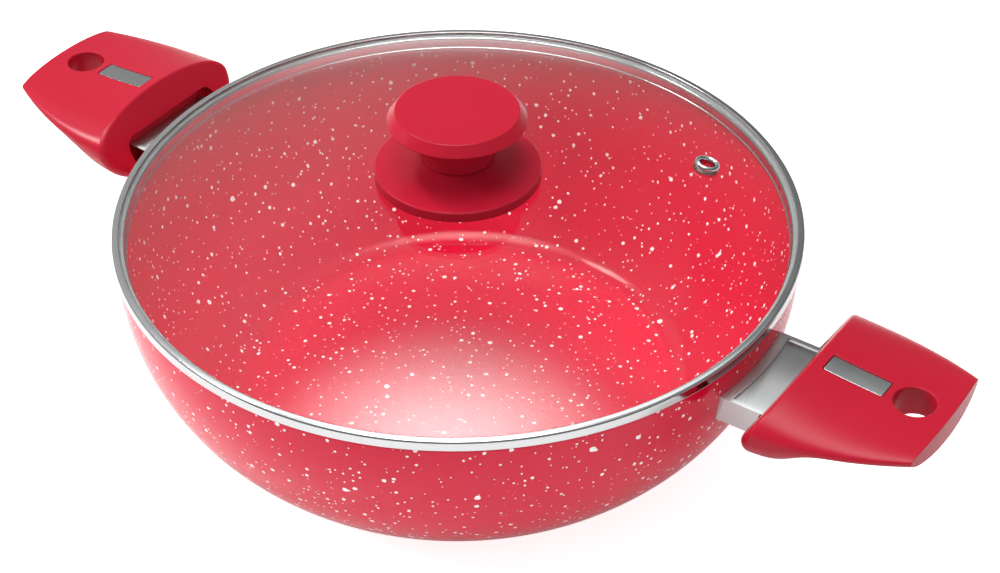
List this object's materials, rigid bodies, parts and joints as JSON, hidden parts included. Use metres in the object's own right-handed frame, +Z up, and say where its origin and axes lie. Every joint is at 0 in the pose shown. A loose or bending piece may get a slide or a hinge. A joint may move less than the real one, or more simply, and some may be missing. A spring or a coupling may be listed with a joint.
{
  "type": "covered wok",
  "caption": "Low round wok with side grips on steel brackets and a lift-off domed glass lid with a knob and a steam vent.",
  "frame": {"origin": "middle of the pan's flat underside, on the surface it stands on", "axes": "+Z up, +X from the pan's axis along the right handle, +Y to the back"},
  "size_m": [0.4376, 0.28, 0.1416],
  "materials": {
    "coated_aluminium": "red speckled non-stick coating",
    "magnetic_steel": "turned rings",
    "polished_steel": "polished stainless steel",
    "brushed_steel": "brushed stainless steel",
    "plated_steel": "zinc plated",
    "brass": "turned",
    "red_phenolic": "satin red phenolic",
    "silicone": "translucent grey silicone",
    "tempered_glass": "clear tempered glass"
  },
  "bodies": {
    "pan": {"pan_body": "coated_aluminium", "induction_base_plate": "magnetic_steel", "weld_studs_right": "plated_steel", "stud_nuts_right": "plated_steel", "handle_bracket_right": "polished_steel", "grip_right": "red_phenolic", "grip_inlay_right": "brushed_steel", "grip_insert_right": "brass", "grip_screw_right": "plated_steel", "weld_studs_left": "plated_steel", "stud_nuts_left": "plated_steel", "handle_bracket_left": "polished_steel", "grip_left": "red_phenolic", "grip_inlay_left": "brushed_steel", "grip_insert_left": "brass", "grip_screw_left": "plated_steel"},
    "lid": {"lid_glass": "tempered_glass", "lid_rim_band": "polished_steel", "rim_sealant": "silicone", "vent_grommet": "polished_steel", "vent_ring": "polished_steel", "knob_base": "red_phenolic", "knob_grip": "red_phenolic", "knob_insert": "brass", "knob_screw": "plated_steel", "knob_washer": "plated_steel", "knob_seals": "silicone"}
  },
  "joints": [
    {"name": "lid_lift", "type": "slide", "parent": "pan", "child": "lid", "axis": [0, 0, 1], "range_m": [0, 0.16]}
  ]
}
